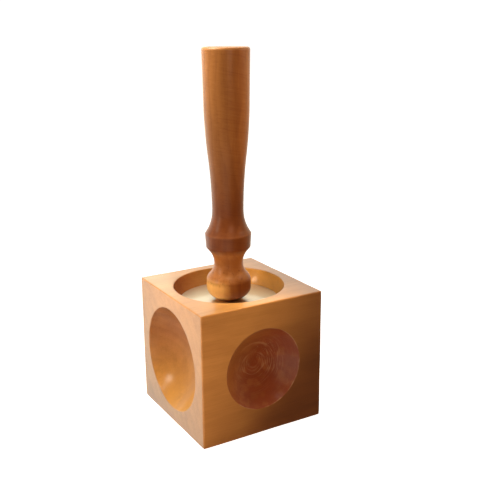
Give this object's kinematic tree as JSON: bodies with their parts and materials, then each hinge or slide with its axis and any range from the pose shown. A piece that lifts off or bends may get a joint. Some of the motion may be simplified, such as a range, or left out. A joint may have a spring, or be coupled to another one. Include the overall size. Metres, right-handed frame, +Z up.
{
  "type": "doming block and punch",
  "caption": "Hardwood cube with a spherical hollow of a different size in each face, a turned wooden punch, and a round metal blank lying in the largest hollow.",
  "frame": {"origin": "centre of the block's base, on the surface that it stands on", "axes": "+Z up along the punch, -Y out of the block's front face with the 37 mm hollow, -X out of its left face with the 47 mm hollow"},
  "size_m": [0.06, 0.06, 0.1642],
  "materials": {
    "block_wood": "satin lacquer over straight-grained hardwood",
    "punch_wood": "turned and lacquered, with fine lathe lines",
    "blank_brass": "satin sheet with light scratches"
  },
  "bodies": {
    "block": {"block": "block_wood"},
    "blank": {"metal_blank": "blank_brass"},
    "punch": {"punch": "punch_wood"}
  },
  "joints": [
    {"name": "blank_lift", "type": "slide", "parent": "block", "child": "blank", "axis": [0, 0, 1], "range_m": [0, 0.03]},
    {"name": "punch_lift", "type": "slide", "parent": "blank", "child": "punch", "axis": [0, 0, 1], "range_m": [0, 0.05]}
  ]
}
